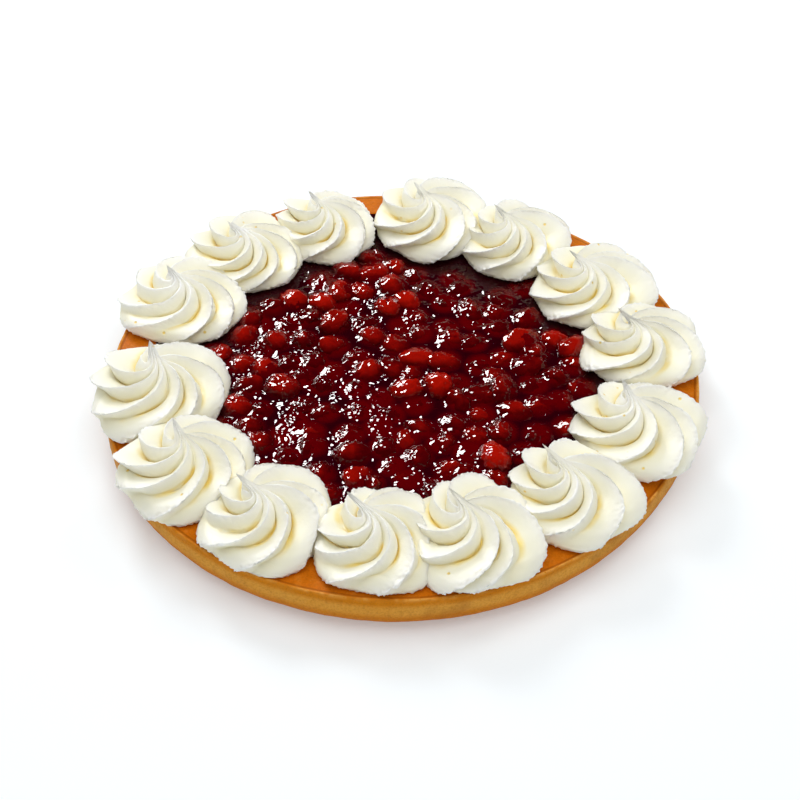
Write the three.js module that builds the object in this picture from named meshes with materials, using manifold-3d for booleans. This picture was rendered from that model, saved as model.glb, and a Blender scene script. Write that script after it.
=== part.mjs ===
// A cherry flan: a low pastry case, filled to the brim with cherries in jelly and ringed with piped cream.
// Millimetres, +Z up. The origin is the centre of the flat underside, and -Y is the front.

import * as THREE from 'three';
import { mergeVertices } from 'three/addons/utils/BufferGeometryUtils.js';
import Module from 'manifold-3d';

const wasm = await Module();
wasm.setup();

// ---- Driving dimensions ----

const gap = 0.3;
const fullTurn = 2 * Math.PI;

const crust = {
  radius: 140.2,
  footRadius: 128,
  bellyHeight: 11.5,
  creaseRadius: 139.6,
  creaseHeight: 19,
  ledgeHeight: 21,
  flatLedgeRadius: 128,
  ledgeInnerRadius: 125,
  floorRadius: 122,
  floorThickness: 5,
  bellyDegrees: [-90, -66, -42, -20, 0],
  segments: 72,
};

// The case is hand-lined, so it is not quite round and its rim is not quite level.
const outOfRound = [
  { times: 2, cos: -0.003, sin: 0.008 },
  { times: 3, cos: 0.009, sin: 0.005 },
  { times: 4, cos: 0, sin: 0.007 },
];
const rimRise = [
  { times: 1, cos: -1.45, sin: -1.5 },
  { times: 2, cos: -0.8, sin: -0.15 },
];

const filling = {
  openRadius: 92,
  cherryRadius: 8,
  cherryRadiusSpread: 0.8,
  cherrySpacing: 15,
  cherryJitter: 1.8,
  cherrySink: 2.2,
  cherryScale: [1.05, 0.95, 0.92],
  cherrySides: 8,
  cherryRings: 4,
};

const piping = {
  ridges: 8,
  pointsPerRidge: 3,
  crestPlace: 0.6,
  crestSharpness: 1.5,
  ridgeDepth: 6.6,
  deepestShare: 0.45,
  footDepthShare: 0.25,
  fullDepthHeight: 0.45,
  stretch: 1.06,
  twist: 160,
  blockSize: 120,
};

// The outline of one rosette, from its foot to just under the tip: shares of the height and the radius,
// and how much of the twist and of the lean it has made by then.
const rosetteOutline = [
  { height: 0, radius: 0.95, turn: 0, lean: 0 },
  { height: 0.12, radius: 1, turn: 0.04, lean: 0 },
  { height: 0.26, radius: 1, turn: 0.09, lean: 0 },
  { height: 0.45, radius: 0.94, turn: 0.18, lean: 0 },
  { height: 0.61, radius: 0.8, turn: 0.3, lean: 0 },
  { height: 0.74, radius: 0.58, turn: 0.44, lean: 0 },
  { height: 0.82, radius: 0.34, turn: 0.61, lean: 0.08 },
  { height: 0.85, radius: 0.13, turn: 0.83, lean: 0.24 },
  { height: 0.88, radius: 0.075, turn: 0.94, lean: 0.42 },
  { height: 0.93, radius: 0.05, turn: 0.98, lean: 0.66 },
];

// The rosettes, clockwise from the back: the direction and distance of each foot from the middle of the flan,
// its radius and height, how far the tip was pulled over, and the direction of its first ridge.
const rosettes = [
  { direction: 82, ring: 110, radius: 29.5, height: 20.5, lean: [-9, 11], turn: 4 },
  { direction: 58, ring: 107, radius: 26.8, height: 20.5, lean: [-10, 11], turn: 21 },
  { direction: 31, ring: 109, radius: 29.3, height: 19, lean: [-11, 10], turn: 13 },
  { direction: 6, ring: 113.8, radius: 28, height: 19.5, lean: [-11, 10], turn: 30 },
  { direction: -22.5, ring: 114, radius: 28.4, height: 20.5, lean: [-6, 15], turn: 9 },
  { direction: -48.8, ring: 112, radius: 27.8, height: 21, lean: [-13, 14], turn: 25 },
  { direction: -74.5, ring: 111.5, radius: 29.5, height: 21, lean: [-10, 11], turn: 22 },
  { direction: -95.3, ring: 111, radius: 27.8, height: 20.5, lean: [-13, 12], turn: 17 },
  { direction: -120.5, ring: 114, radius: 28, height: 21, lean: [-13, 10], turn: 33 },
  { direction: -144, ring: 117, radius: 29.3, height: 22.5, lean: [-6, 13], turn: 27 },
  { direction: -169.5, ring: 113, radius: 30.3, height: 23.5, lean: [-5, 15], turn: 27 },
  { direction: 157, ring: 115.5, radius: 30, height: 19, lean: [-8, 9], turn: 6 },
  { direction: 133.2, ring: 113, radius: 28.5, height: 18, lean: [-11, 9], turn: 19 },
  { direction: 110.6, ring: 109, radius: 25.2, height: 20.5, lean: [-9, 10], turn: 31 },
];

const finish = {
  crust: { color: 0xb8762a, roughness: 0.75, metalness: 0 },
  filling: { color: 0x5a0610, roughness: 0.12, metalness: 0 },
  cream: { color: 0xf6f2e2, roughness: 0.6, metalness: 0 },
};

// ---- Tools ----

function waves(list, angle) {
  return list.reduce(
    (sum, wave) => sum + wave.cos * Math.cos(wave.times * angle) + wave.sin * Math.sin(wave.times * angle),
    0,
  );
}

// A repeatable draw between -1 and 1 for each whole number and purpose.
function draw(number, purpose) {
  const value = Math.sin(number * 12.9898 + purpose * 78.233) * 43758.5453;
  return 2 * (value - Math.floor(value)) - 1;
}

function polar(radius, angle, height) {
  return new THREE.Vector3(radius * Math.cos(angle), radius * Math.sin(angle), height);
}

// A closed body from rings of points, counter-clockwise seen from above, and the two points that shut it.
function loft(start, rings, end) {
  const count = rings[0].length;
  const points = [start, ...rings.flat(), end];
  const last = rings.length - 1;
  const at = (ring, i) => 1 + ring * count + (i % count);
  const faces = [];
  for (let i = 0; i < count; i++) {
    faces.push(0, at(0, i + 1), at(0, i));
    for (let ring = 0; ring < last; ring++) {
      faces.push(at(ring, i), at(ring, i + 1), at(ring + 1, i));
      faces.push(at(ring, i + 1), at(ring + 1, i + 1), at(ring + 1, i));
    }
    faces.push(at(last, i), at(last, i + 1), points.length - 1);
  }
  const geometry = new THREE.BufferGeometry().setFromPoints(points);
  geometry.setIndex(faces);
  return geometry;
}

// Rings of points, one for each point of a profile that may change with the angle.
function turned(profileAt, segments) {
  const profiles = [];
  for (let i = 0; i < segments; i++) {
    const angle = (i / segments) * fullTurn;
    profiles.push(profileAt(angle).map(([radius, height]) => polar(radius, angle, height)));
  }
  return profiles[0].map((_, place) => profiles.map((profile) => profile[place]));
}

function toSolid(geometry) {
  const bare = geometry.clone();
  bare.deleteAttribute('normal');
  bare.deleteAttribute('uv');
  const welded = mergeVertices(bare);
  const corners = welded.index.array;
  const kept = [];
  for (let i = 0; i < corners.length; i += 3) {
    const [a, b, c] = corners.slice(i, i + 3);
    if (a !== b && b !== c && c !== a) {
      kept.push(a, b, c);
    }
  }
  const vertProperties = new Float32Array(welded.attributes.position.array);
  return new wasm.Manifold(new wasm.Mesh({ numProp: 3, vertProperties, triVerts: new Uint32Array(kept) }));
}

function toGeometry(solid) {
  const mesh = solid.getMesh();
  const geometry = new THREE.BufferGeometry();
  geometry.setAttribute('position', new THREE.BufferAttribute(mesh.vertProperties, 3));
  geometry.setIndex(new THREE.BufferAttribute(mesh.triVerts, 1));
  return geometry;
}

function named(name, geometry, look) {
  geometry.computeVertexNormals();
  const mesh = new THREE.Mesh(geometry, new THREE.MeshStandardMaterial(look));
  mesh.name = name;
  return mesh;
}

// ---- Pastry case ----

const roundness = (angle) => 1 + waves(outOfRound, angle);
const creaseHeight = (angle) => Math.min(crust.creaseHeight + waves(rimRise, angle), crust.ledgeHeight);

// From the middle of the underside, out under the belly, up the side, over the ledge and down to the floor.
function crustProfile(angle) {
  const round = roundness(angle);
  const rim = creaseHeight(angle);
  const points = [];
  for (const degrees of crust.bellyDegrees) {
    const a = THREE.MathUtils.degToRad(degrees);
    const reach = (crust.radius - crust.footRadius) * Math.cos(a);
    const lift = crust.bellyHeight * (1 + Math.sin(a));
    points.push([(crust.footRadius + reach) * round, (lift * rim) / crust.creaseHeight]);
  }
  points.push([crust.creaseRadius * round, rim]);
  points.push([crust.flatLedgeRadius * round, crust.ledgeHeight]);
  points.push([crust.ledgeInnerRadius * round, crust.ledgeHeight]);
  points.push([crust.floorRadius * round, crust.floorThickness]);
  return points;
}

function makeCrust() {
  const start = new THREE.Vector3(0, 0, 0);
  const end = new THREE.Vector3(0, 0, crust.floorThickness);
  return named('crust', loft(start, turned(crustProfile, crust.segments), end), finish.crust);
}

// ---- Filling ----

// The jelly lies inside the case, a hair clear of its wall and floor.
function jellyProfile(angle) {
  const round = roundness(angle);
  return [
    [crust.floorRadius * round - gap, crust.floorThickness + gap],
    [crust.ledgeInnerRadius * round - gap, crust.ledgeHeight],
  ];
}

function isClearOfCream(x, y, radius) {
  return rosettes.every((rosette) => {
    const foot = footOf(rosette);
    return Math.hypot(x - foot.x, y - foot.y) > rosette.radius * piping.stretch + radius + gap;
  });
}

// Cherries lie evenly, as seeds do in a sunflower, each pushed a little off its place.
function cherryPlaces() {
  const goldenAngle = Math.PI * (3 - Math.sqrt(5));
  const areaEach = filling.cherrySpacing ** 2 * (Math.sqrt(3) / 2);
  const places = [];
  for (let i = 0; ; i++) {
    const distance = Math.sqrt(((i + 0.5) * areaEach) / Math.PI);
    if (distance > filling.openRadius) {
      return places;
    }
    const x = distance * Math.cos(i * goldenAngle) + filling.cherryJitter * draw(i, 1);
    const y = distance * Math.sin(i * goldenAngle) + filling.cherryJitter * draw(i, 2);
    const radius = filling.cherryRadius + filling.cherryRadiusSpread * draw(i, 3);
    if (isClearOfCream(x, y, radius)) {
      places.push({ x, y, radius, turn: Math.PI * draw(i, 4) });
    }
  }
}

function makeCherry({ x, y, radius, turn }) {
  const cherry = new THREE.SphereGeometry(radius, filling.cherrySides, filling.cherryRings);
  cherry.rotateX(Math.PI / 2);
  cherry.scale(...filling.cherryScale);
  cherry.rotateZ(turn);
  cherry.translate(x, y, crust.ledgeHeight - filling.cherrySink);
  return toSolid(cherry);
}

function makeFilling() {
  const start = new THREE.Vector3(0, 0, crust.floorThickness + gap);
  const end = new THREE.Vector3(0, 0, crust.ledgeHeight);
  const jelly = toSolid(loft(start, turned(jellyProfile, crust.segments), end));
  const solid = cherryPlaces().reduce((body, place) => body.add(makeCherry(place)), jelly);
  return named('filling', toGeometry(solid), finish.filling);
}

// ---- Piped rosettes ----

function footOf(rosette) {
  return polar(rosette.ring, THREE.MathUtils.degToRad(rosette.direction), crust.ledgeHeight + gap);
}

// How far a point of the ribbed outline lies below the crest line: 0 on a crest, 1 in a groove.
function grooveShare(place) {
  const { crestPlace, crestSharpness } = piping;
  const span = place < crestPlace ? crestPlace : 1 - crestPlace;
  const away = Math.abs(place - crestPlace) / span;
  return 1 - (1 - away) ** crestSharpness;
}

// The outward direction of the plain outline at one of its points, in the plane through the axis.
function outlineNormal(rosette, index) {
  if (index === 0) {
    return new THREE.Vector2(1, 0);
  }
  const before = rosetteOutline[index - 1];
  const after = rosetteOutline[index + 1] ?? { height: 1, radius: 0 };
  const rise = (after.height - before.height) * rosette.height;
  const reach = (after.radius - before.radius) * rosette.radius;
  return new THREE.Vector2(rise, -reach).normalize();
}

// Grooves are shallow where the cream spreads on the rim, and never deeper than the dollop allows.
function ridgeDepth(level, radius) {
  const share = THREE.MathUtils.mapLinear(level.height, 0, piping.fullDepthHeight, piping.footDepthShare, 1);
  return Math.min(piping.ridgeDepth * Math.min(share, 1), radius * piping.deepestShare);
}

function rosetteRing(rosette, index) {
  const level = rosetteOutline[index];
  const radius = level.radius * rosette.radius;
  const depth = ridgeDepth(level, radius);
  const normal = outlineNormal(rosette, index);
  const count = piping.ridges * piping.pointsPerRidge;
  const points = [];
  for (let i = 0; i < count; i++) {
    const place = (i % piping.pointsPerRidge) / piping.pointsPerRidge + piping.crestPlace;
    const sink = -depth * grooveShare(place % 1);
    const degrees = (i / count) * 360 + rosette.turn + piping.twist * level.turn;
    const height = level.height * rosette.height + normal.y * sink;
    const point = polar(radius + normal.x * sink, THREE.MathUtils.degToRad(degrees), height);
    point.x += rosette.lean[0] * level.lean;
    point.y += rosette.lean[1] * level.lean;
    points.push(point);
  }
  return points;
}

// Rosettes are a little longer across the rim than along it, where their neighbours press on them.
function stretchAcrossRim(geometry, rosette) {
  const direction = THREE.MathUtils.degToRad(rosette.direction);
  geometry.rotateZ(-direction);
  geometry.scale(piping.stretch, 1, 1);
  geometry.rotateZ(direction);
}

// The half of space on a rosette's own side of the seam where it meets a neighbour.
function ownSide(rosette, neighbour) {
  const from = footOf(rosette);
  const to = footOf(neighbour);
  const apart = from.distanceTo(to);
  const seam = (apart ** 2 + rosette.radius ** 2 - neighbour.radius ** 2) / (2 * apart) - gap / 2;
  const size = piping.blockSize;
  const block = new THREE.BoxGeometry(size, size, size);
  block.translate(seam - size / 2, 0, 0);
  block.rotateZ(Math.atan2(to.y - from.y, to.x - from.x));
  block.translate(from.x, from.y, from.z);
  return toSolid(block);
}

function makeRosette(rosette, index) {
  const foot = footOf(rosette);
  const rings = rosetteOutline.map((_, place) => rosetteRing(rosette, place));
  const tip = new THREE.Vector3(rosette.lean[0], rosette.lean[1], rosette.height);
  const geometry = loft(new THREE.Vector3(0, 0, 0), rings, tip);
  stretchAcrossRim(geometry, rosette);
  geometry.translate(foot.x, foot.y, foot.z);
  const last = rosettes.length - 1;
  const before = rosettes[index === 0 ? last : index - 1];
  const after = rosettes[index === last ? 0 : index + 1];
  const solid = toSolid(geometry).intersect(ownSide(rosette, before)).intersect(ownSide(rosette, after));
  return named(`rosette_${String(index + 1).padStart(2, '0')}`, toGeometry(solid), finish.cream);
}

// ---- The whole flan ----

const flan = new THREE.Group();
flan.add(makeCrust());
flan.add(makeFilling());
flan.add(...rosettes.map(makeRosette));

export default flan;
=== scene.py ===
"""Cherry flan: a baked case, cherries in jelly and a ring of piped cream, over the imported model."""

import math
from typing import NamedTuple

import bpy
import numpy as np
from mathutils import Euler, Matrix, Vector, noise


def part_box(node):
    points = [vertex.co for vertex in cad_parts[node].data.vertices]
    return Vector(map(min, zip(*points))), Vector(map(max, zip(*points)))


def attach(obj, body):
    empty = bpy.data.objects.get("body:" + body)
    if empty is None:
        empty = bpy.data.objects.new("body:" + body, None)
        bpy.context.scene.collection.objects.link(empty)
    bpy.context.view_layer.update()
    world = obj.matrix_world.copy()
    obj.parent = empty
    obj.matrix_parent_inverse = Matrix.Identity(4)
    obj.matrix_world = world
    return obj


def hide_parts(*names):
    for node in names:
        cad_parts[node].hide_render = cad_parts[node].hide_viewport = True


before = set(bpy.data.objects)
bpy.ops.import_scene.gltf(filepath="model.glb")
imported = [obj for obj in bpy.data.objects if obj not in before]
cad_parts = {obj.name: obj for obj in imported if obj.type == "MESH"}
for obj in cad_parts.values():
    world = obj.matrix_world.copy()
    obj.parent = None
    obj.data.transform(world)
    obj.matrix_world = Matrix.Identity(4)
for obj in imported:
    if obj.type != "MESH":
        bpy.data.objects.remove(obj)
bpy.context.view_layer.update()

bl_info = {
    "name": "Cherry Flan",
    "version": (1, 0, 0),
    "blender": (4, 5, 0),
    "location": "View3D > Sidebar > Cherry Flan",
    "description": "Bakes the case, sets the cherries in jelly and pipes the cream",
    "category": "Add Mesh",
}

BODY = "root"
MM = 0.001
FULL_TURN = 2 * math.pi

LEDGE_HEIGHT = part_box("crust")[1].z
JELLY_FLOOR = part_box("filling")[0].z
CREAM_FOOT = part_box("rosette_01")[0].z


def from_screen(red, green, blue):
    """The linear colour of a screen colour given in 0 to 255."""
    shares = [value / 255 for value in (red, green, blue)]
    return tuple(v / 12.92 if v <= 0.04045 else ((v + 0.055) / 1.055) ** 2.4 for v in shares)


# ---- The flan's own sizes, in millimetres and degrees ----


class Rosette(NamedTuple):
    """One rosette of cream: where its foot stands, its size, how its tip leans and its first ridge."""

    direction: float
    ring: float
    radius: float
    height: float
    lean: tuple
    turn: float


# Clockwise from the back, as the solids have them.
ROSETTES = [
    Rosette(82, 110, 29.5, 20.5, (-9, 11), 4),
    Rosette(58, 107, 26.8, 20.5, (-10, 11), 21),
    Rosette(31, 109, 29.3, 19, (-11, 10), 13),
    Rosette(6, 113.8, 28, 19.5, (-11, 10), 30),
    Rosette(-22.5, 114, 28.4, 20.5, (-6, 15), 9),
    Rosette(-48.8, 112, 27.8, 21, (-13, 14), 25),
    Rosette(-74.5, 111.5, 29.5, 21, (-10, 11), 22),
    Rosette(-95.3, 111, 27.8, 20.5, (-13, 12), 17),
    Rosette(-120.5, 114, 28, 21, (-13, 10), 33),
    Rosette(-144, 117, 29.3, 22.5, (-6, 13), 27),
    Rosette(-169.5, 113, 30.3, 23.5, (-5, 15), 27),
    Rosette(157, 115.5, 30, 19, (-8, 9), 6),
    Rosette(133.2, 113, 28.5, 18, (-11, 9), 19),
    Rosette(110.6, 109, 25.2, 20.5, (-9, 10), 31),
]

# The case is not quite round and its rim is not quite level: (waves in a turn, cosine share, sine share).
OUT_OF_ROUND = [(2, -0.003, 0.008), (3, 0.009, 0.005), (4, 0, 0.007)]
RIM_RISE = [(1, -1.45, -1.5), (2, -0.8, -0.15)]

CRUST_RADIUS = 140.2
CRUST_FOOT_RADIUS = 128
CRUST_BELLY = 11.5
CREASE_RADIUS = 139.6
CREASE_HEIGHT = 19
LEDGE_INNER_RADIUS = 121.5
LEDGE_RISE = 2
FLOOR_RADIUS = 119
FLOOR_THICKNESS = 5
WALL_GAP = 0.3


def waves(parts, angle):
    """The sum of a few waves round the case at the given angles in radians."""
    return sum(c * np.cos(n * angle) + s * np.sin(n * angle) for n, c, s in parts)


def draw(number, purpose):
    """A repeatable draw between -1 and 1 for each whole number and purpose."""
    value = math.sin(number * 12.9898 + purpose * 78.233) * 43758.5453
    return 2 * (value - math.floor(value)) - 1


def direction_of(degrees):
    angle = math.radians(degrees)
    return Vector((math.cos(angle), math.sin(angle), 0))


def foot_of(rosette):
    return direction_of(rosette.direction) * rosette.ring


# ---- Settings ----


def colour(name, description, red, green, blue):
    return bpy.props.FloatVectorProperty(
        name=name, description=description, subtype="COLOR", size=3, min=0, max=1,
        default=from_screen(red, green, blue),
    )


def length(name, description, millimetres):
    return bpy.props.FloatProperty(
        name=name, description=description, subtype="DISTANCE", unit="LENGTH", default=millimetres * MM,
    )


def turning(name, description, degrees):
    return bpy.props.FloatProperty(
        name=name, description=description, subtype="ANGLE", default=math.radians(degrees),
    )


class CrustSettings(bpy.types.PropertyGroup):
    ledge_colour: colour("Ledge", "Colour of the baked top of the rim", 212, 113, 3)
    side_colour: colour("Side", "Colour of the rounded side", 216, 130, 6)
    # Partly paler bake, partly a painted sheen on the bulge of the side.
    belly_bake_and_sheen_colour: colour("Belly", "Colour of the paler band round the side", 232, 170, 70)
    # Dark bake for the patches and grain, and also the painted shade low on the side and in the groove
    # behind the lip.
    dark_bake_and_shade_colour: colour("Dark bake", "Colour where the pastry caught the heat", 160, 82, 2)
    flour_colour: colour("Flour", "Colour of the floury line at the crease", 240, 176, 84)
    nick_colour: colour("Nicks", "Colour of the small scorched nicks", 88, 40, 4)
    unevenness: length("Unevenness", "How far the dough wanders from its plain shape", 0.5)


class FillingSettings(bpy.types.PropertyGroup):
    jelly_colour: colour("Jelly", "Colour of the deep jelly", 44, 0, 8)
    glow_colour: colour("Glow", "Colour of the jelly over a sunken cherry", 92, 0, 4)
    # Painted light: proud crowns get the lighter red and sunken sides the darker, on top of each cherry's
    # own ripeness.
    cherry_lit_and_ripe_colour: colour("Cherry", "Colour of the cherries that stand proud", 172, 18, 5)
    cherry_shade_and_unripe_colour: colour("Cherry shade", "Colour of a cherry where it sinks", 74, 0, 4)
    cherry_radius: length("Cherry radius", "Radius of a cherry of middling size", 8)
    spacing: length("Spacing", "Distance between neighbouring cherries", 14.4)
    ripple: length("Ripple", "Height of the ripples in the jelly", 0.75)


class CreamSettings(bpy.types.PropertyGroup):
    cream_colour: colour("Cream", "Colour of the whipped cream", 253, 251, 237)
    # Painted highlight on the thin crests.
    crest_highlight_colour: colour("Crest", "Colour of the thin edge of a ridge", 255, 255, 246)
    # Painted shade down in the grooves.
    groove_shade_colour: colour("Hollow", "Colour of the cream down in a groove", 245, 234, 192)
    # Painted shade deep in the slits between ridges.
    slit_shade_colour: colour("Valley", "Colour deep between two ridges", 246, 220, 112)
    # Painted shade inside the small open bubbles.
    pore_shade_colour: colour("Pores", "Colour of the small open bubbles", 248, 210, 60)
    ridges: bpy.props.IntProperty(
        name="Ridges", description="Ridges that the star nozzle leaves", default=8, min=4, max=16
    )
    ridge_depth: length("Ridge depth", "Depth of the grooves between the ridges", 6.6)
    twist: turning("Twist", "Turn of a ridge from rim to tip", 160)


class StageSettings(bpy.types.PropertyGroup):
    camera_distance: length("Camera distance", "From the lens to the middle of the flan", 800)
    camera_elevation: turning("Elevation", "Camera angle above the table", 43.66)
    camera_lens: bpy.props.FloatProperty(
        name="Lens", description="Focal length", unit="CAMERA", default=77.44
    )
    floor_colour: colour("Floor", "Colour of the table", 219, 226, 230)


SETTINGS = {
    "crust": CrustSettings,
    "filling": FillingSettings,
    "cream": CreamSettings,
    "stage": StageSettings,
}


def settings(name):
    return getattr(bpy.context.scene, f"flan_{name}")


# ---- Node trees ----


class Wire:
    """An output of a node. Arithmetic on it adds the Math node that works it out."""

    def __init__(self, net, socket):
        self.net = net
        self.socket = socket

    def other(self, name):
        """Another output of the same node."""
        return Wire(self.net, self.socket.node.outputs[name])

    def __add__(self, other):
        return self.net.math("ADD", self, other)

    def __sub__(self, other):
        return self.net.math("SUBTRACT", self, other)

    def __rsub__(self, other):
        return self.net.math("SUBTRACT", other, self)

    def __mul__(self, other):
        return self.net.math("MULTIPLY", self, other)

    def __truediv__(self, other):
        return self.net.math("DIVIDE", self, other)

    def __pow__(self, other):
        return self.net.math("POWER", self, other)

    def __neg__(self):
        return self.net.math("MULTIPLY", self, -1.0)

    __radd__ = __add__
    __rmul__ = __mul__


class Net:
    """Adds nodes to one tree, for a material or for a shape."""

    def __init__(self, tree):
        self.tree = tree

    def feed(self, socket, value):
        if isinstance(value, Wire):
            self.tree.links.new(value.socket, socket)
        else:
            socket.default_value = value

    def node(self, kind, choices=None, sockets=None, output=0):
        made = self.tree.nodes.new(kind)
        for name, value in (choices or {}).items():
            if name == "points":
                self.set_points(made.mapping, value)
            else:
                setattr(made, name, value)
        for name, value in (sockets or {}).items():
            self.feed(made.inputs[name], value)
        return Wire(self, made.outputs[output])

    def set_points(self, mapping, points):
        curve = mapping.curves[0]
        while len(curve.points) < len(points):
            curve.points.new(0.5, 0.5)
        for point, place in zip(curve.points, points):
            point.location = place
            point.handle_type = "AUTO_CLAMPED"
        mapping.update()

    def math(self, operation, *values):
        return self.node("ShaderNodeMath", {"operation": operation}, dict(enumerate(values)))

    def vector(self, operation, *values, output=0):
        if operation == "SCALE":
            sockets = {0: values[0], "Scale": values[1]}
        else:
            sockets = dict(enumerate(values))
        return self.node("ShaderNodeVectorMath", {"operation": operation}, sockets, output)

    def combine(self, x, y, z):
        return self.node("ShaderNodeCombineXYZ", None, {"X": x, "Y": y, "Z": z})

    def separate(self, vector):
        x = self.node("ShaderNodeSeparateXYZ", None, {"Vector": vector})
        return x, x.other("Y"), x.other("Z")

    def clamp(self, value, low=0.0, high=1.0):
        return self.node("ShaderNodeClamp", None, {"Value": value, "Min": low, "Max": high})

    def smooth(self, value, low, high):
        """0 below low and 1 above high, with an easy slope between."""
        sockets = {"Value": value, "From Min": low, "From Max": high}
        return self.node("ShaderNodeMapRange", {"interpolation_type": "SMOOTHSTEP"}, sockets)

    def curve(self, value, points):
        """Reads value on an easy curve through the points."""
        return self.node("ShaderNodeFloatCurve", {"points": points}, {"Value": value})

    def mix(self, share, first, second):
        """One colour turning into another."""
        first, second = (shade if isinstance(shade, Wire) else (*shade, 1.0) for shade in (first, second))
        return self.node("ShaderNodeMix", {"data_type": "RGBA"}, {0: share, 6: first, 7: second}, 2)

    def noise(self, place, scale, detail=2.0, roughness=0.5, shift=0.0):
        choices = {"noise_dimensions": "4D"}
        sockets = {"Vector": place, "Scale": scale, "Detail": detail, "Roughness": roughness, "W": shift}
        return self.node("ShaderNodeTexNoise", choices, sockets)


class Finish(Net):
    """A material round one Principled shader, whose even values are set on its own sockets."""

    def __init__(self, name, **constants):
        self.material = bpy.data.materials.new(name)
        self.material.use_nodes = True
        super().__init__(self.material.node_tree)
        self.shader = self.tree.nodes["Principled BSDF"]
        for socket, value in constants.items():
            self.shader.inputs[socket.replace("_", " ")].default_value = value
        self.place = self.node("ShaderNodeTexCoord", output="Object")

    def set(self, socket, value):
        self.feed(self.shader.inputs[socket], value)

    def attribute(self, name):
        return self.node("ShaderNodeAttribute", {"attribute_name": name}, output="Fac")

    def relief(self, height, distance):
        self.set("Normal", self.node("ShaderNodeBump", None, {"Height": height, "Distance": distance}))


class Shape(Net):
    """A Geometry Nodes tree with named inputs. It ends in Realize Instances and Set Material."""

    def __init__(self, name, **inputs):
        super().__init__(bpy.data.node_groups.new(name, "GeometryNodeTree"))
        self.tree.interface.new_socket("Geometry", in_out="INPUT", socket_type="NodeSocketGeometry")
        self.tree.interface.new_socket("Geometry", in_out="OUTPUT", socket_type="NodeSocketGeometry")
        for label, kind in inputs.items():
            self.tree.interface.new_socket(label, in_out="INPUT", socket_type=f"NodeSocket{kind}")
        self.start = self.tree.nodes.new("NodeGroupInput")
        self.end = self.tree.nodes.new("NodeGroupOutput")

    def input(self, label):
        return Wire(self, self.start.outputs[label])

    def position(self):
        return self.node("GeometryNodeInputPosition")

    def luck(self, low, high, number, seed):
        """A repeatable draw between low and high for each number."""
        sockets = {2: low, 3: high, "ID": number, "Seed": seed}
        return self.node("FunctionNodeRandomValue", None, sockets, 1)

    def named(self, name, kind="FLOAT"):
        return self.node("GeometryNodeInputNamedAttribute", {"data_type": kind}, {"Name": name})

    def store(self, geometry, name, value, kind="FLOAT", domain="POINT"):
        choices = {"data_type": kind, "domain": domain}
        sockets = {"Geometry": geometry, "Name": name, "Value": value}
        return self.node("GeometryNodeStoreNamedAttribute", choices, sockets)

    def finish(self, geometry, material):
        smooth = self.node("GeometryNodeSetShadeSmooth", None, {"Geometry": geometry})
        real = self.node("GeometryNodeRealizeInstances", None, {"Geometry": smooth})
        dressed = self.node("GeometryNodeSetMaterial", None, {"Geometry": real, "Material": material})
        self.tree.links.new(dressed.socket, self.end.inputs[0])


def shaped(name, tree, values, source=None):
    """A plain mesh object, made by running a Geometry Nodes tree with the given inputs."""
    carrier = bpy.data.objects.new(name, source or bpy.data.meshes.new(name))
    bpy.context.scene.collection.objects.link(carrier)
    modifier = carrier.modifiers.new("shape", "NODES")
    modifier.node_group = tree
    for item in tree.interface.items_tree:
        if item.in_out == "INPUT" and item.name in values:
            modifier[item.identifier] = values[item.name]
    evaluated = carrier.evaluated_get(bpy.context.evaluated_depsgraph_get())
    result = bpy.data.meshes.new_from_object(evaluated)
    carrier.modifiers.remove(modifier)
    carrier.data = result
    return carrier


def note_on_points(mesh, notes):
    """Values for each point of a mesh, by name."""
    for label, values in notes.items():
        attribute = mesh.attributes.new(label, "FLOAT", "POINT")
        attribute.data.foreach_set("value", np.asarray(values, np.float32))


def piece(name, points, faces, material, shares=None):
    """A plain mesh object from points in metres. shares are values for each point, by name."""
    mesh = bpy.data.meshes.new(name)
    mesh.from_pydata([tuple(p) for p in points], [], faces)
    note_on_points(mesh, shares or {})
    mesh.shade_smooth()
    mesh.materials.append(material)
    made = bpy.data.objects.new(name, mesh)
    bpy.context.scene.collection.objects.link(made)
    return made


def hand_over(made, slot, *nodes):
    """The piece rides on the flan and stands for its solids."""
    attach(made, BODY)
    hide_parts(*nodes)


class Swell(NamedTuple):
    """One size of unevenness: waves a metre, its share of the height, its seed, its octaves."""

    scale: float
    share: float
    seed: int
    octaves: int = 3


def swell_at(points, swells):
    """Soft unevenness at points in metres, between about -1 and 1, summed over its sizes."""
    total = np.zeros(len(points))
    for swell in swells:
        # Each seed looks at another corner of the noise.
        shift = Vector((swell.seed * 3.7, swell.seed * 1.3, swell.seed * 5.1))
        places = (Vector(point) * swell.scale + shift for point in points)
        values = [noise.fractal(place, 1.0, 2.0, swell.octaves) for place in places]
        total += np.array(values) * swell.share
    return total


# ---- Pastry case ----

CRUST_SEGMENTS = 720
BELLY_STEPS = 16
SIDE_STEPS = 8
LEDGE_STEPS = 12
MIDDLE_RING = 60
UNDERSIDE_RING = 110
SIDE_BULGE = 0.1

# The paler band round the side starts, is full, and begins to fade towards the crease at these heights. It
# is partly paler bake and partly a painted sheen where the bulge faces the lights.
BAND_START, BAND_FULL, BAND_TOP = 9, 13.5, 16

# The dough is even up to this height. On the ledge it wanders less, and lies lower, just under the cream.
EVEN_FOOT = 0.5
LEDGE_SWELL = 0.8
LEDGE_DROP = 0.25
LEDGE_UNDER_CREAM = 0.02
DOUGH_SWELLS = [Swell(28, 0.7, 1), Swell(120, 0.45, 2), Swell(420, 0.16, 3)]


class OutlinePoint(NamedTuple):
    """A point of the case's outline, and its shares in the ledge, the floury crease and the painted shade
    (depth).
    """

    radius: float
    height: float
    ledge: float = 0
    crease: float = 0
    depth: float = 0


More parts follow.
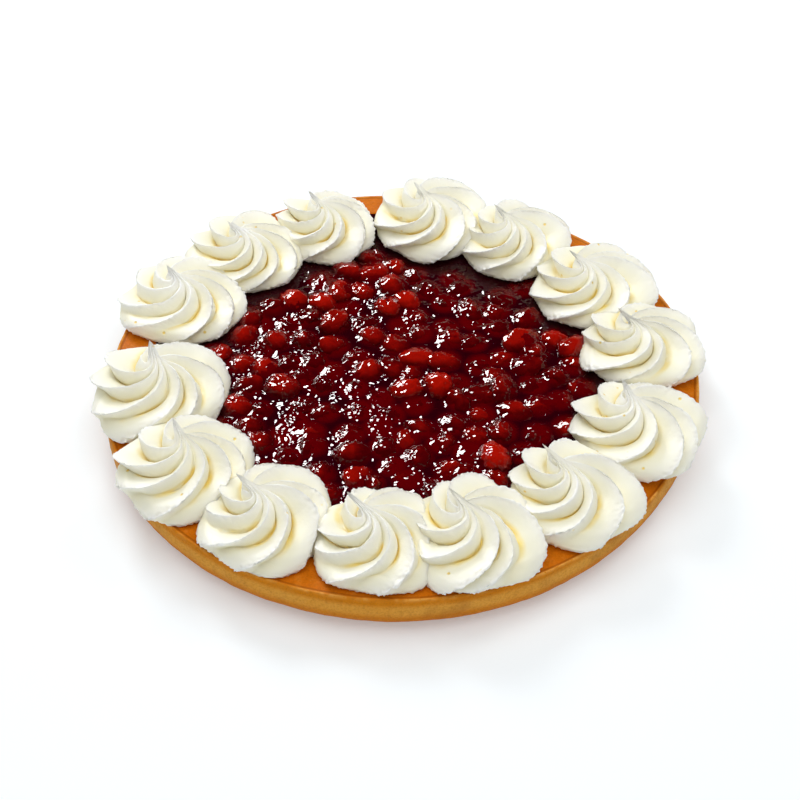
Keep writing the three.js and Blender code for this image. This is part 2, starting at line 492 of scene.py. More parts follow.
# The floury lip and the groove behind it, as steps inward and upward from the crease. Their depth shares
# paint shade into the groove.
LIP = [
    OutlinePoint(-0.1, 0, ledge=0.2, crease=1),
    OutlinePoint(-0.7, 0.35, ledge=0.5, crease=1),
    OutlinePoint(-1.3, 0.1, ledge=0.8, crease=0.2, depth=0.4),
    OutlinePoint(-1.9, -0.1, ledge=1, depth=0.8),
    OutlinePoint(-2.6, 0.3, ledge=1, depth=0.1),
]


def crust_finish():
    """Baked pastry: a paler band round the side, partly painted sheen, darker patches, painted shade low on
    the side and in the groove behind the lip, a floury crease and scorched nicks.
    """
    chosen = settings("crust")
    f = Finish("baked_pastry", Roughness=0.6, IOR=1.25, Specular_IOR_Level=0.25)
    ledge, crease, depth = (f.attribute(name) for name in ("ledge", "crease", "depth"))
    patches = f.noise(f.place, scale=45.0, detail=3.0)
    fine = f.noise(f.place, scale=260.0, detail=4.0, roughness=0.65)
    grain = f.noise(f.place, scale=1000.0, detail=3.0, roughness=0.7)
    dashes = f.smooth(f.noise(f.place, scale=170.0, detail=1.0), 0.4, 0.6)
    spots = f.node("ShaderNodeTexVoronoi", None, {"Vector": f.place, "Scale": 90.0})
    is_rare = f.smooth(f.separate(spots.other("Color"))[0], 0.84, 0.86)
    nick = f.smooth(spots + fine * 0.12, 0.16, 0.1) * is_rare
    height = f.separate(f.place)[2]
    # The band: partly paler bake, partly a painted sheen on the bulge of the side.
    band = f.smooth(height, BAND_START * MM, BAND_FULL * MM)
    band = band * f.smooth(height, CREASE_HEIGHT * MM, BAND_TOP * MM)
    flour = crease * f.smooth(grain + fine * 0.5, 0.55, 0.75) * (dashes * 0.8 + 0.2)
    shade = f.mix(band * (patches * 0.8 + 0.4), chosen.side_colour, chosen.belly_bake_and_sheen_colour)
    shade = f.mix(ledge, shade, chosen.ledge_colour)
    shade = f.mix(f.smooth(patches, 0.48, 0.75) * 0.55, shade, chosen.dark_bake_and_shade_colour)
    # Painted shade: darker where the side curves under towards the table and in the groove behind the lip.
    shade = f.mix(f.smooth(depth, 0.05, 0.8) * 0.8, shade, chosen.dark_bake_and_shade_colour)
    shade = f.mix(f.smooth(fine, 0.5, 0.8) * 0.35, shade, chosen.dark_bake_and_shade_colour)
    shade = f.mix(f.smooth(fine, 0.5, 0.2) * 0.25, shade, chosen.flour_colour)
    shade = f.mix(f.smooth(grain, 0.42, 0.68) * 0.32, shade, chosen.dark_bake_and_shade_colour)
    shade = f.mix(flour * 0.75, shade, chosen.flour_colour)
    shade = f.mix(nick * 0.8, shade, chosen.nick_colour)
    f.set("Base Color", shade)
    f.relief(fine * 0.7 + grain * 0.45 - nick, 0.8 * MM)
    return f.material


def crust_outline():
    """From the underside out round the belly, up the side, over the lip and in along the ledge."""
    # depth paints shade on the underside and on the lower belly, fading up to the widest point.
    outline = [OutlinePoint(radius, 0, depth=1) for radius in (MIDDLE_RING, UNDERSIDE_RING)]
    for step in range(BELLY_STEPS + 1):
        share = step / BELLY_STEPS
        angle = math.radians(90 * share - 90)
        radius = CRUST_FOOT_RADIUS + (CRUST_RADIUS - CRUST_FOOT_RADIUS) * math.cos(angle)
        outline.append(OutlinePoint(radius, CRUST_BELLY * (1 + math.sin(angle)), depth=1 - share))
    for step in range(1, SIDE_STEPS):
        share = step / SIDE_STEPS
        radius = CRUST_RADIUS + (CREASE_RADIUS - CRUST_RADIUS) * share
        radius += SIDE_BULGE * math.sin(math.pi * share)
        height = CRUST_BELLY + (CREASE_HEIGHT - CRUST_BELLY) * share
        outline.append(OutlinePoint(radius, height, crease=share**12))
    for point in LIP:
        radius, height = CREASE_RADIUS + point.radius, CREASE_HEIGHT + point.height
        outline.append(point._replace(radius=radius, height=height))
    edge = outline[-1]
    for step in range(1, LEDGE_STEPS + 1):
        share = step / LEDGE_STEPS
        radius = edge.radius + (LEDGE_INNER_RADIUS - edge.radius) * share
        height = edge.height + (CREASE_HEIGHT + LEDGE_RISE - edge.height) * share**0.8
        outline.append(OutlinePoint(radius, height, ledge=1))
    outline += [OutlinePoint(radius, FLOOR_THICKNESS, ledge=1) for radius in (FLOOR_RADIUS, MIDDLE_RING)]
    return outline


def swept_faces(segments, count):
    """Quads between neighbouring outlines, and a fan at each end round the last two points."""
    underside, floor = segments * count, segments * count + 1
    quads, fans = [], []
    for i in range(segments):
        here, there = i * count, (i + 1) % segments * count
        quads += [(here + j, there + j, there + j + 1, here + j + 1) for j in range(count - 1)]
        fans += [(underside, there, here), (floor, here + count - 1, there + count - 1)]
    return quads + fans


def crust_mesh(material):
    """The outline swept round, out of round and uneven, with a rim that rises and falls."""
    outline = np.array(crust_outline(), float)
    radius, height, ledge = outline[:, 0], outline[:, 1], outline[:, 2]
    count = len(outline)
    is_floor = np.arange(count) >= count - 2
    angle = np.arange(CRUST_SEGMENTS)[:, None] * FULL_TURN / CRUST_SEGMENTS
    top = LEDGE_HEIGHT / MM
    rim = np.minimum(CREASE_HEIGHT + waves(RIM_RISE, angle), top)
    climb = (height - CREASE_HEIGHT) / LEDGE_RISE
    rise = np.where(ledge > 0, rim + (top - rim) * climb, height * (rim / CREASE_HEIGHT))
    rise[:, is_floor] = FLOOR_THICKNESS
    reach = radius * (1 + waves(OUT_OF_ROUND, angle))
    points = np.stack([reach * np.cos(angle), reach * np.sin(angle), rise], -1).reshape(-1, 3) * MM

    outward = np.repeat(np.hstack([np.cos(angle), np.sin(angle)]), count, axis=0)
    is_shown = np.tile((height > EVEN_FOOT) & ~is_floor, CRUST_SEGMENTS)
    side = np.tile(1 - ledge, CRUST_SEGMENTS)
    amount = settings("crust").unevenness * swell_at(points, DOUGH_SWELLS) * is_shown
    points[:, :2] += outward * (amount * side)[:, None]
    points[:, 2] += np.where(side < 0.5, amount * LEDGE_SWELL - LEDGE_DROP * MM, 0) * is_shown
    points[:, 2] = np.minimum(points[:, 2], LEDGE_HEIGHT - LEDGE_UNDER_CREAM * MM)
    points = np.vstack([points, [[0, 0, 0], [0, 0, FLOOR_THICKNESS * MM]]])

    shares = {}
    for zone in ("ledge", "crease", "depth"):
        column = OutlinePoint._fields.index(zone)
        # The middle of the underside and the middle of the covered floor come last.
        shares[zone] = np.append(np.tile(outline[:, column], CRUST_SEGMENTS), [0, 1])
    return piece("baked_case", points, swept_faces(CRUST_SEGMENTS, count), material, shares)


# ---- Cherries in jelly ----

# Cherries lie within this radius, are pushed off their places this far, and differ this much in radius.
CHERRY_REACH = 104
CHERRY_PUSH = 3.4
CHERRY_SPREAD = 1.0

# How far under the ledge a cherry's middle lies, give or take, and how much deeper half of them may sink.
CHERRY_DEPTH = 4.4
DEPTH_SPREAD = 1.6
EXTRA_DEPTH = 2.4

# What each draw for a cherry decides.
EASTWARD, NORTHWARD, SIZE, TURN, DEPTH, DEEPER = range(1, 7)

# Between cherries the jelly lies this far under the ledge, and it runs this softly on to each cherry.
JELLY_DROP = 1.2
JELLY_SOFTNESS = 0.9
JELLY_CELLS = 270
JELLY_SWELLS = [Swell(70, 0.8, 4), Swell(190, 0.5, 5), Swell(430, 0.22, 6, octaves=2)]

# The jelly over a cherry: a dome flatter than the cherry, a little under its top, with a slope round it.
DOME_SHARE = 0.8
DOME_SINK = 0.9
DOME_SLOPE = 1.5
DOME_REACH = 8
GLOW_REACH = 6

# Past this radius the jelly stays under the foot of the cream.
CREAM_LINE = 96
JELLY_UNDER_CREAM = 0.1

FILM_RELIEF = 1.3
CHERRY_WRINKLE = 1.3
CHERRY_FOLD = 0.9

# A cherry's skin is painted lighter, as if lit from above, from this far under the ledge, over this height.
PAINTED_LIGHT_FROM = 1.0
PAINTED_LIGHT_HEIGHT = 7


class Cherry(NamedTuple):
    """A cherry's middle, radius and turn, in metres and radians."""

    x: float
    y: float
    z: float
    radius: float
    turn: float


def is_clear_of_cream(x, y, margin):
    for rosette in ROSETTES:
        foot = foot_of(rosette)
        if math.hypot(x - foot.x, y - foot.y) <= rosette.radius + margin:
            return False
    return True


def cherry_places():
    """Cherries lie evenly, as seeds do in a sunflower, each pushed a little off its place."""
    chosen = settings("filling")
    golden_angle = math.pi * (3 - math.sqrt(5))
    area_each = (chosen.spacing / MM) ** 2 * math.sqrt(3) / 2
    places = []
    for i in range(round(math.pi * CHERRY_REACH**2 / area_each)):
        distance = math.sqrt((i + 0.5) * area_each / math.pi)
        x = distance * math.cos(i * golden_angle) + CHERRY_PUSH * draw(i, EASTWARD)
        y = distance * math.sin(i * golden_angle) + CHERRY_PUSH * draw(i, NORTHWARD)
        radius = chosen.cherry_radius / MM + CHERRY_SPREAD * draw(i, SIZE)
        if is_clear_of_cream(x, y, radius * 0.2):
            sunk = CHERRY_DEPTH + DEPTH_SPREAD * draw(i, DEPTH) + EXTRA_DEPTH * max(draw(i, DEEPER), 0)
            z = LEDGE_HEIGHT / MM - sunk
            places.append(Cherry(x * MM, y * MM, z * MM, radius * MM, math.pi * draw(i, TURN)))
    return places


def film_relief(f, ripple, wrinkle):
    """The wet film over everything: broad ripples, and patches of fine wrinkles, more on the left."""
    leftward = f.separate(f.place)[0] * -0.9
    wrinkled = f.smooth(f.noise(f.place, scale=60.0, detail=1.0) + leftward, 0.4, 0.62)
    broad = f.noise(f.place, scale=230.0, detail=1.0) * ripple
    fine = f.noise(f.place, scale=510.0, detail=0.0)
    f.relief(broad + fine * (wrinkled * wrinkle + 0.12), FILM_RELIEF * MM)


def jelly_finish():
    """Glossy dark jelly that glows red over a cherry just under it."""
    chosen = settings("filling")
    f = Finish("cherry_jelly", Roughness=0.03, IOR=1.45)
    murk = f.noise(f.place, scale=60.0, detail=3.0)
    glow = f.smooth(f.attribute("glow") + murk * 0.35, 0.25, 1.1)
    f.set("Base Color", f.mix(glow, chosen.jelly_colour, chosen.glow_colour))
    film_relief(f, 0.8, 0.42)
    return f.material


def cherry_finish():
    """Wet cherry skin, painted lighter as if lit from above where a cherry stands proud, and brighter where
    it is riper.
    """
    chosen = settings("filling")
    f = Finish("cherry_skin", Roughness=0.04, IOR=1.45)
    blotch = f.noise(f.place, scale=130.0, detail=3.0)
    # Painted light: higher on a cherry is lighter, as if lit from above. Ripeness and blotches also vary
    # the red.
    painted_light_and_ripeness = f.smooth(f.attribute("height") + blotch * 0.6 + f.attribute("ripe") * 0.5 - 0.6, 0.0, 0.85)
    f.set("Base Color", f.mix(painted_light_and_ripeness, chosen.cherry_shade_and_unripe_colour, chosen.cherry_lit_and_ripe_colour))
    film_relief(f, 0.7, 0.7)
    return f.material


def jelly_over(cherries, x, y):
    """The height of the jelly that climbs over the cherries, and how near a cherry is, from 0 to 1."""
    level = LEDGE_HEIGHT - JELLY_DROP * MM
    softness = JELLY_SOFTNESS * MM
    heap = np.ones_like(x)
    glow = np.zeros_like(x)
    for cherry in cherries:
        distance = np.hypot(x - cherry.x, y - cherry.y)
        near = distance < cherry.radius + DOME_REACH * MM
        d = distance[near]
        dome = cherry.z + np.sqrt(np.maximum(cherry.radius**2 - d**2, 0)) * DOME_SHARE - DOME_SINK * MM
        dome = dome - np.maximum(d - cherry.radius, 0) * DOME_SLOPE
        heap[near] += np.exp((dome - level) / softness)
        dimming = np.clip((d - cherry.radius * 0.5) / (GLOW_REACH * MM), 0, 1)
        glow[near] = np.maximum(glow[near], 1 - dimming)
    return level + softness * np.log(heap), glow


def jelly_mesh(cherries, material):
    """The jelly's surface, a square grid drawn out to a round, on a body that fills the case."""
    line = np.linspace(-1, 1, JELLY_CELLS + 1)
    u, v = (values.ravel() for values in np.meshgrid(line, line))
    x, y = u * np.sqrt(1 - v * v / 2), v * np.sqrt(1 - u * u / 2)
    reach = (LEDGE_INNER_RADIUS * (1 + waves(OUT_OF_ROUND, np.arctan2(y, x))) - WALL_GAP) * MM
    x, y = x * reach, y * reach
    height, glow = jelly_over(cherries, x, y)
    height += settings("filling").ripple * swell_at(np.stack([x, y, np.zeros_like(x)], -1), JELLY_SWELLS)
    is_under_cream = np.hypot(x, y) > CREAM_LINE * MM
    height = np.where(is_under_cream, np.minimum(height, CREAM_FOOT - JELLY_UNDER_CREAM * MM), height)
    is_edge = np.abs(np.maximum(np.abs(u), np.abs(v)) - 1) < 1e-9
    height[is_edge] = LEDGE_HEIGHT - WALL_GAP * MM
    points = np.stack([x, y, height], -1)

    cells, side = JELLY_CELLS, JELLY_CELLS + 1
    corners = [row * side + column for row in range(cells) for column in range(cells)]
    faces = [(a, a + 1, a + side + 1, a + side) for a in corners]
    rim = list(range(cells))
    rim += [i * side + cells for i in range(cells)]
    rim += [cells * side + cells - i for i in range(cells)]
    rim += [(cells - i) * side for i in range(cells)]
    low = len(points)
    shrink = (FLOOR_RADIUS - WALL_GAP) / LEDGE_INNER_RADIUS
    foot = [(points[i][0] * shrink, points[i][1] * shrink, JELLY_FLOOR) for i in rim]
    points = np.vstack([points, foot, [[0, 0, JELLY_FLOOR]]])
    middle = len(points) - 1
    for i in range(len(rim)):
        after = (i + 1) % len(rim)
        faces.append((rim[after], rim[i], low + i, low + after))
        faces.append((middle, low + after, low + i))
    shares = {"glow": np.append(glow, np.zeros(len(foot) + 1))}
    return piece("cherry_jelly", points, faces, material, shares)


def cherry_tree(material):
    """Sets a wrinkled cherry on every point of the incoming mesh, which holds each one's size and turn."""
    s = Shape("cherries_on_points", Wrinkle="Float", Fold="Float")
    ball = s.node("GeometryNodeMeshIcoSphere", None, {"Radius": 1.0, "Subdivisions": 4})
    ball = s.store(ball, "skin", s.position(), "FLOAT_VECTOR")
    size = s.named("size")
    number = s.node("GeometryNodeInputIndex")
    stretch = s.luck(0.98, 1.4, number, seed=3)
    flatness = s.luck(0.76, 0.96, number, seed=5)
    tip = s.luck(-0.5, 0.5, number, seed=7)
    scale = s.combine(size * stretch, size * 0.96, size * flatness)
    turn = s.combine(tip, tip * 0.7, s.named("turn"))
    sockets = {"Points": s.input("Geometry"), "Instance": ball, "Scale": scale, "Rotation": turn}
    crowd = s.node("GeometryNodeInstanceOnPoints", None, sockets)
    crowd = s.store(crowd, "number", number, "FLOAT", "INSTANCE")
    crowd = s.store(crowd, "ripe", s.luck(0.0, 1.0, number, seed=11), "FLOAT", "INSTANCE")
    real = s.node("GeometryNodeRealizeInstances", None, {"Geometry": crowd})

    # Each cherry reads its own stretch of the noise, so no two have the same lumps and folds.
    skin = s.named("skin", "FLOAT_VECTOR")
    own = s.named("number") * 3.17
    lump = s.noise(skin, scale=1.1, detail=1.0, shift=own) - 0.5
    folds = s.noise(skin, scale=2.6, detail=2.0, shift=own + 40.0)
    furrow = s.clamp(s.math("ABSOLUTE", folds - 0.5) * 7.0)
    rise = lump * s.input("Wrinkle") * 3.0 + (furrow - 1.0) * s.input("Fold")
    offset = s.vector("SCALE", s.node("GeometryNodeInputNormal"), rise)
    moved = s.node("GeometryNodeSetPosition", None, {"Geometry": real, "Offset": offset})
    # The height over the jelly, which the skin reads as painted top light.
    level = LEDGE_HEIGHT - PAINTED_LIGHT_FROM * MM
    height = s.clamp((s.separate(s.position())[2] - level) / (PAINTED_LIGHT_HEIGHT * MM))
    s.finish(s.store(moved, "height", height), material)
    return s.tree


def cherry_mesh(cherries, material):
    points = bpy.data.meshes.new("cherry_places")
    points.from_pydata([(c.x, c.y, c.z) for c in cherries], [], [])
    note_on_points(points, {"size": [c.radius for c in cherries], "turn": [c.turn for c in cherries]})
    values = {"Wrinkle": CHERRY_WRINKLE * MM, "Fold": CHERRY_FOLD * MM}
    return shaped("cherries", cherry_tree(material), values, points)


# ---- Piped cream ----

ROWS = 112
UNDER_ROWS = 6
COLUMNS_A_RIDGE = 36

# A rosette from its rim to its tip: (way along, width, height, share of the twist).
ROSETTE_FORM = [
    (0, 0.95, 0, 0),
    (0.076, 1, 0.12, 0.04),
    (0.15, 1, 0.26, 0.09),
    (0.25, 0.94, 0.45, 0.18),
    (0.38, 0.8, 0.61, 0.3),
    (0.52, 0.58, 0.74, 0.44),
    (0.66, 0.34, 0.82, 0.61),
    (0.78, 0.13, 0.85, 0.83),
    (0.85, 0.075, 0.88, 0.94),
    (0.92, 0.05, 0.93, 0.98),
    (1, 0, 1, 1),
]

# Shares that change from the rim, at 0, to the tip, at 1.
LEANING = [(0, 0), (0.52, 0), (0.66, 0.08), (0.78, 0.24), (0.85, 0.42), (0.92, 0.66), (1, 1)]
STEEPNESS = [
    (0, 0), (0.15, 0.05), (0.25, 0.28), (0.38, 0.5), (0.52, 0.72),
    (0.66, 0.84), (0.78, 0.8), (0.85, 0.5), (0.92, 0.3), (1, 0.2),
]
BLUNTNESS = [(0, 0.42), (0.2, 0.52), (0.4, 0.46), (0.6, 0.18), (1, 0.1)]
CREST_PLACE = [(0, 0.68), (0.3, 0.64), (0.5, 0.56), (1, 0.4)]
HOLLOWNESS = [(0, 0.2), (0.2, 0.3), (0.4, 0.4), (0.55, 0.25), (0.7, 0), (1, 0)]
GROOVE_SHARE = [(0, 0.25), (0.1, 0.5), (0.25, 1), (1, 1)]
SLIT_SHARE = [(0, 0), (0.3, 0), (0.45, 1), (0.8, 1), (1, 0)]

# How far each ridge strays, sideways in ridge widths and outward in millimetres.
RIDGE_STRAY = 0.22
RIDGE_LIFT = 1.3
SLIT_DEPTH = 2.0

# Unevenness: broad, fine and on ragged edges. It fades out over a height above the flat foot.
WOBBLE = 2.2
GRIT = 0.35
RAGGEDNESS = 4.8
FOOT_FADE = 1.5

# How far a rosette reaches past the plane where it meets its neighbour, and how deep it is squeezed.
SEAM_OVERLAP = 4.2
SQUEEZE = 6

# Each rosette reads its own stretch of the noise and draws its own luck.
NOISE_STEP = 5.3
FIRST_SEED = 20


def cream_finish():
    """Whipped cream: painted shade, yellower, down in the grooves, slits and pores, and a painted highlight
    on the crests, with a few open pores.
    """
    chosen = settings("cream")
    f = Finish(
        "whipped_cream", Roughness=0.5, IOR=1.4,
        Subsurface_Weight=0.55, Subsurface_Scale=3 * MM, Subsurface_Radius=(1.0, 0.97, 0.85),
    )
    groove = f.attribute("groove")
    cloud = f.noise(f.place, scale=90.0)
    is_high = f.smooth(f.attribute("rimward"), 0.85, 0.6)
    # Painted shade in the narrow slits high on the rosette.
    slit = f.smooth(groove, 0.82, 1.0) * f.smooth(cloud, 0.3, 0.6) * is_high
    # Painted highlight: the crests are painted whiter.
    crest = f.smooth(f.attribute("near"), 0.88, 1.0)
    # Pores: pressed in by the bump and painted with the shade inside them.
    pores = f.node("ShaderNodeTexVoronoi", None, {"Vector": f.place, "Scale": 150.0})
    is_rare = f.smooth(f.separate(pores.other("Color"))[0], 0.78, 0.82)
    pore = f.smooth(pores, 0.16, 0.05) * is_rare
    fine = f.noise(f.place, scale=900.0, detail=3.0, roughness=0.6)
    # Painted shade: yellower deeper in the grooves.
    shade = f.mix(groove**1.5 * 0.55, chosen.cream_colour, chosen.groove_shade_colour)
    shade = f.mix(slit * 0.9, shade, chosen.slit_shade_colour)
    shade = f.mix(crest * 0.8, shade, chosen.crest_highlight_colour)
    shade = f.mix(pore * 0.8, shade, chosen.pore_shade_colour)
    f.set("Base Color", shade)
    f.relief(fine * 0.25 - pore, 0.35 * MM)
    return f.material


def ridges_round(s, x, y, way):
    """Each column's ridge, its angle before the twist, and how near to and away from the crest it is."""
    ridge_width = s.math("DIVIDE", FULL_TURN, s.input("Ridges"))
    # The nudge keeps a column that lies right on a ridge's start from counting with the ridge before.
    around = s.math("ARCTAN2", y, x) / ridge_width
    around = s.math("FLOORED_MODULO", around + 0.0001 / COLUMNS_A_RIDGE, s.input("Ridges"))
    ridge = s.math("FLOOR", around)
    swing = (around - ridge) * 2.0 - 1.0
    bluntness = s.curve(way, BLUNTNESS)
    away = (swing * swing + bluntness * bluntness) ** 0.5 - bluntness
    away = s.clamp(away / ((bluntness * bluntness + 1.0) ** 0.5 - bluntness)) ** 1.1
    near = 1.0 - away
    crest = s.curve(way, CREST_PLACE)
    is_after = s.math("GREATER_THAN", swing, 0.0)
    place = ridge + crest - crest * away * (1.0 - is_after) + (1.0 - crest) * away * is_after
    place = place + s.luck(-RIDGE_STRAY, RIDGE_STRAY, ridge, s.input("Seed")) * near
    return ridge, place * ridge_width + s.input("First ridge"), near, away


def groove_depth(s, way, radius, away, outward, unevenly):
    """Shallow at the rim and where two rosettes meet, with a narrow slit further up."""
    depth = s.input("Ridge depth") * (1.0 + unevenly * 0.8) * s.curve(way, GROOVE_SHARE)
    depth = depth * (1.0 - s.math("SINE", outward) ** 4.0 * s.smooth(way, 0.45, 0.15) * 0.7)
    depth = s.math("MINIMUM", depth, radius * 0.42)
    slit = s.smooth(away, 0.72, 1.0) * s.curve(way, SLIT_SHARE) * SLIT_DEPTH * MM
    return depth + s.math("MINIMUM", slit, radius * 0.2)


def pressed(s, spot, seam):
    """Cream past the start of a seam is squeezed into what is left before the neighbour's side."""
    squeeze = SQUEEZE * MM
    far = s.vector("LENGTH", seam, output=1)
    toward = s.vector("NORMALIZE", seam)
    past = s.math("MAXIMUM", s.vector("DOT_PRODUCT", spot, toward, output=1) - far + squeeze, 0.0)
    kept = (1.0 - s.math("EXPONENT", -past / squeeze)) * squeeze
    return s.vector("ADD", spot, s.vector("SCALE", toward, kept - past))


def settled(s, spot, way):
    """The dollop stretched along the flan's radius, leaned over, pressed by its neighbours, on its foot."""
    across = s.input("Across")
    stretch = s.vector("DOT_PRODUCT", spot, across, output=1) * 0.06
    spot = s.vector("ADD", spot, s.vector("SCALE", across, stretch))
    spot = s.vector("ADD", spot, s.vector("SCALE", s.input("Lean"), s.curve(way, LEANING)))
    for name in ("Seam before", "Seam after"):
        spot = pressed(s, spot, s.input(name))
    return s.vector("ADD", spot, s.input("Foot"))


def roughened(s, cream):
    """Uneven all over, ragged along the crests near the rim and round the foot, and flat below."""
    where = s.position()
    shift = s.input("Shift")
    wobble = (s.noise(where, scale=55.0, detail=1.0, shift=shift) - 0.5) * WOBBLE * MM
    grit = (s.noise(where, scale=420.0, roughness=0.6, shift=shift) - 0.5) * GRIT * MM
    ragged = (s.noise(where, scale=650.0, roughness=0.6, shift=shift + 9.0) - 0.5) * RAGGEDNESS * MM
    foot_edge = s.smooth(s.named("rimward"), 0.88, 1.0)
    edge = s.math("MAXIMUM", s.named("near") ** 6.0 * s.named("rimward"), foot_edge)
    push = s.vector("SCALE", s.node("GeometryNodeInputNormal"), wobble + grit + ragged * edge)
    off_foot = s.smooth(s.separate(where)[2], CREAM_FOOT, CREAM_FOOT + FOOT_FADE * MM)
    push = s.vector("MULTIPLY", push, s.combine(1.0, 1.0, off_foot))
    return s.node("GeometryNodeSetPosition", None, {"Geometry": cream, "Offset": push})


def rosette_tree(material):
    """A star-section dollop: rows rise from the middle of its foot to its tip, and ridges wind up it."""
    vectors = ("Foot", "Across", "Lean", "Seam before", "Seam after")
    floats = ("Radius", "Height", "Direction", "First ridge", "Twist", "Ridge depth", "Shift")
    kinds = {"Vector": vectors, "Float": floats, "Int": ("Ridges", "Seed")}
    s = Shape("piped_rosette", **{label: kind for kind, labels in kinds.items() for label in labels})
    columns = s.input("Ridges") * COLUMNS_A_RIDGE
    sockets = {"Vertices": columns, "Side Segments": ROWS, "Radius": 1.0, "Depth": 1.0}
    tube = s.node("GeometryNodeMeshCylinder", {"fill_type": "NONE"}, sockets)
    x, y, z = s.separate(s.position())
    row = (z + 0.5) * ROWS
    under = s.clamp(row / UNDER_ROWS)
    way = s.clamp((row - UNDER_ROWS) / (ROWS - UNDER_ROWS))
    wide, high, wound = (
        s.curve(way, [(step[0], step[column]) for step in ROSETTE_FORM]) for column in (1, 2, 3)
    )

    ridge, start_angle, near, away = ridges_round(s, x, y, way)
    angle = start_angle + s.input("Twist") * wound
    outward = angle - s.input("Direction")
    radius = s.input("Radius") * wide
    around = s.combine(s.math("COSINE", angle), s.math("SINE", angle), way * 2.5)
    unevenly = s.noise(around, scale=1.1, detail=1.0, shift=s.input("Shift")) - 0.5
    groove = 1.0 - near ** (s.curve(way, HOLLOWNESS) + 1.0)
    depth = groove_depth(s, way, radius, away, outward, unevenly)
    lift = s.luck(-RIDGE_LIFT * MM, RIDGE_LIFT * MM, ridge, s.input("Seed"))
    sink = lift * near * s.math("MINIMUM", wide * 2.0, 1.0) - depth * groove

    tilt = s.curve(way, STEEPNESS) * (math.pi / 2)
    corner = s.math("SINE", outward * 2.0) ** 2.0 * s.smooth(s.math("COSINE", outward), -0.2, 0.4)
    spread = 1.0 + unevenly * 0.1 + corner * 0.11 * s.smooth(way, 0.6, 0.1)
    reach = (radius * spread + sink * s.math("COSINE", tilt)) * under
    rise = s.input("Height") * high + sink * s.math("SINE", tilt)
    spot = s.combine(reach * s.math("COSINE", angle), reach * s.math("SINE", angle), rise)

    noted = s.store(tube, "groove", groove * s.math("MINIMUM", wide * 2.5, 1.0))
    noted = s.store(noted, "near", near)
    noted = s.store(noted, "rimward", (1.0 - way) * under)
    sockets = {"Geometry": noted, "Position": settled(s, spot, way)}
    moved = s.node("GeometryNodeSetPosition", None, sockets)
    closed = s.node("GeometryNodeMergeByDistance", None, {"Geometry": moved, "Distance": 0.03 * MM})
    s.finish(roughened(s, closed), material)
    return s.tree


def seam_between(rosette, neighbour):
    """From a rosette's foot to the plane where it meets its neighbour, in metres."""
    apart = foot_of(neighbour) - foot_of(rosette)
    distance = apart.length
    share = (distance**2 + rosette.radius**2 - neighbour.radius**2) / (2 * distance)
    return apart.normalized() * (share + SEAM_OVERLAP) * MM


def pipe_rosette(tree, index):
    rosette = ROSETTES[index]
    chosen = settings("cream")
    foot = foot_of(rosette) * MM
    values = {
        "Foot": (foot.x, foot.y, CREAM_FOOT),
        "Across": tuple(direction_of(rosette.direction)),
        "Lean": (rosette.lean[0] * MM, rosette.lean[1] * MM, 0.0),
        "Seam before": tuple(seam_between(rosette, ROSETTES[index - 1])),
        "Seam after": tuple(seam_between(rosette, ROSETTES[(index + 1) % len(ROSETTES)])),
        "Radius": rosette.radius * MM,
        "Height": rosette.height * MM,
        "Direction": math.radians(rosette.direction),
        "First ridge": math.radians(rosette.turn),
        "Twist": chosen.twist,
        "Ridge depth": chosen.ridge_depth,
        "Shift": index * NOISE_STEP,
        "Ridges": chosen.ridges,
        "Seed": FIRST_SEED + index,
    }
    number = f"{index + 1:02d}"
    hand_over(shaped(f"piped_cream_{number}", tree, values), "cream", f"rosette_{number}")


# ---- Operators ----


class FLAN_OT_bake_case(bpy.types.Operator):
    """Bakes the pastry case with its rounded side, floury crease and browned ledge"""

    bl_idname = "flan.bake_case"
    bl_label = "Bake the case"

    def execute(self, context):
        hand_over(crust_mesh(crust_finish()), "crust", "crust")
        return {"FINISHED"}


class FLAN_OT_set_cherries(bpy.types.Operator):
    """Pours the jelly and sets the cherries in it"""

    bl_idname = "flan.set_cherries"
    bl_label = "Set the cherries"

    def execute(self, context):
        cherries = cherry_places()
        hand_over(jelly_mesh(cherries, jelly_finish()), "filling", "filling")
        hand_over(cherry_mesh(cherries, cherry_finish()), "filling", "filling")
        return {"FINISHED"}


class FLAN_OT_pipe_cream(bpy.types.Operator):
    """Pipes the ring of cream rosettes round the rim"""

    bl_idname = "flan.pipe_cream"
    bl_label = "Pipe the cream"

    def execute(self, context):
        tree = rosette_tree(cream_finish())
        for index in range(len(ROSETTES)):
            pipe_rosette(tree, index)
        return {"FINISHED"}


class FLAN_OT_set_stage(bpy.types.Operator):
    """Sets the table, the soft lights and the camera"""

    bl_idname = "flan.set_stage"
    bl_label = "Set the stage"

    def execute(self, context):
        make_floor()
        for light in LIGHTS:
            make_light(light)
        make_room()
        make_camera()
        return {"FINISHED"}


OPERATORS = [FLAN_OT_bake_case, FLAN_OT_set_cherries, FLAN_OT_pipe_cream, FLAN_OT_set_stage]


class FLAN_PT_panel(bpy.types.Panel):
    """Lists the steps of making the flan"""

    bl_idname = "FLAN_PT_panel"
    bl_label = "Cherry Flan"
    bl_space_type = "VIEW_3D"
    bl_region_type = "UI"
    bl_category = "Cherry Flan"

    def draw(self, context):
        for operator in OPERATORS:
            self.layout.operator(operator.bl_idname)
        for name in SETTINGS:
            group = settings(name)
            box = self.layout.box()
            box.label(text=name.capitalize())
            for field in group.__annotations__:
                box.prop(group, field)


# ---- Stage ----

# In metres. The table glows a little, so that its shadows stay soft and pale.
TABLE_HALF_WIDTH = 12.0
TABLE_GLOW = 0.29
ROOM_LIGHT = 0.28

# What the camera looks at, in millimetres, and the width of its sensor.
CAMERA_TARGET = (-0.83, -18.5, 19.0)
SENSOR_WIDTH = 36


class Light(NamedTuple):
    """A round soft light that looks at the middle of the flan. It lights or it gleams, but not both."""

    name: str
    toward: tuple
    distance: float
    size: float
    power: float
    gleams: bool = False


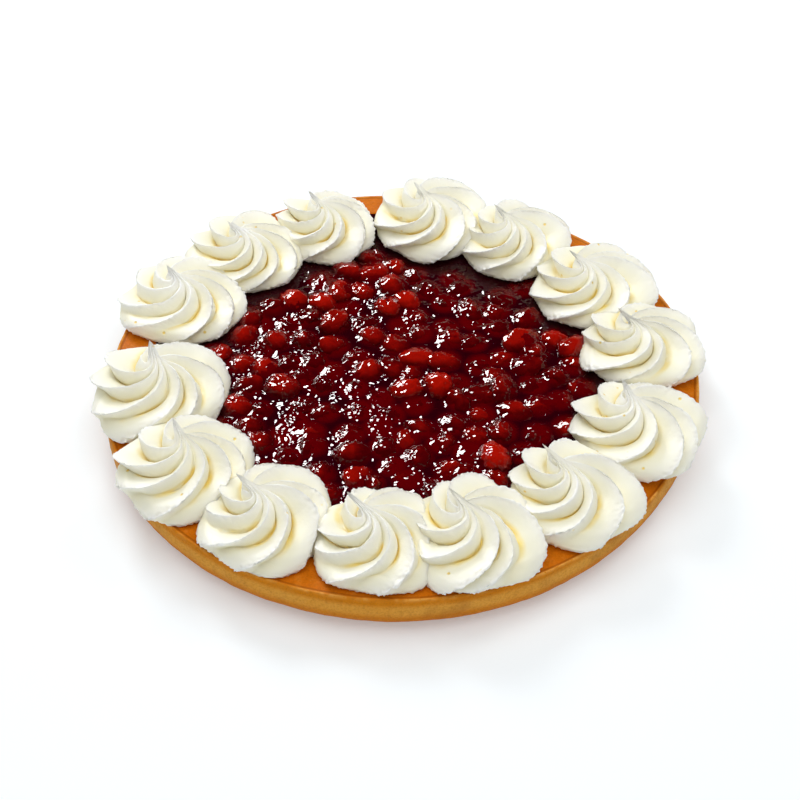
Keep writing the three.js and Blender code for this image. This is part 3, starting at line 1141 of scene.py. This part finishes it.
LIGHTS = [
    Light("key", (-0.38, 0.66, 0.74), 1.4, 0.5, 5.6),
    Light("gleam", (-0.46, 0.7, 0.64), 1.4, 0.6, 30, gleams=True),
    Light("back_right", (0.75, 0.5, 0.95), 1.5, 0.5, 3),
    Light("overhead", (0.0, -0.1, 1.0), 1.6, 1.8, 14.2),
    Light("front_fill", (0.1, -1.0, 0.75), 2.0, 1.6, 1.9),
]


def make_floor():
    half = TABLE_HALF_WIDTH
    points = [(-half, -half, 0), (half, -half, 0), (half, half, 0), (-half, half, 0)]
    f = Finish("table", Roughness=0.9, Emission_Color=(1, 1, 1, 1), Emission_Strength=TABLE_GLOW)
    cloud = f.noise(f.place, scale=6.0)
    f.set("Base Color", f.mix(cloud * 0.04, settings("stage").floor_colour, (0.5, 0.5, 0.5)))
    piece("table_top", points, [(0, 1, 2, 3)], f.material)


def make_light(light):
    data = bpy.data.lights.new(light.name, "AREA")
    data.shape = "DISK"
    data.size = light.size
    data.energy = light.power
    lamp = bpy.data.objects.new(light.name, data)
    away = Vector(light.toward).normalized()
    lamp.location = away * light.distance
    lamp.rotation_euler = away.to_track_quat("Z", "Y").to_euler()
    lamp.visible_diffuse = not light.gleams
    lamp.visible_glossy = light.gleams
    bpy.context.scene.collection.objects.link(lamp)


def make_room():
    world = bpy.data.worlds.new("room")
    world.use_nodes = True
    background = world.node_tree.nodes["Background"]
    background.inputs["Color"].default_value = (1, 1, 1, 1)
    background.inputs["Strength"].default_value = ROOM_LIGHT
    world.cycles_visibility.glossy = False
    bpy.context.scene.world = world
    bpy.context.scene.view_settings.view_transform = "Standard"


def make_camera():
    chosen = settings("stage")
    elevation = chosen.camera_elevation
    back = Vector((0, -math.cos(elevation), math.sin(elevation)))
    data = bpy.data.cameras.new("camera")
    data.lens = chosen.camera_lens
    data.sensor_width = SENSOR_WIDTH
    camera = bpy.data.objects.new("camera", data)
    camera.location = Vector(CAMERA_TARGET) * MM + back * chosen.camera_distance
    camera.rotation_euler = Euler((math.pi / 2 - elevation, 0, 0))
    bpy.context.scene.collection.objects.link(camera)
    bpy.context.scene.camera = camera


# ---- Add-on ----


def register():
    for kind in [*SETTINGS.values(), *OPERATORS, FLAN_PT_panel]:
        bpy.utils.register_class(kind)
    for name, kind in SETTINGS.items():
        setattr(bpy.types.Scene, f"flan_{name}", bpy.props.PointerProperty(type=kind))


def unregister():
    for name in SETTINGS:
        delattr(bpy.types.Scene, f"flan_{name}")
    for kind in reversed([*SETTINGS.values(), *OPERATORS, FLAN_PT_panel]):
        bpy.utils.unregister_class(kind)


def main():
    register()
    bpy.ops.flan.bake_case()
    bpy.ops.flan.set_cherries()
    bpy.ops.flan.pipe_cream()
    bpy.ops.flan.set_stage()


if __name__ == "__main__":
    main()
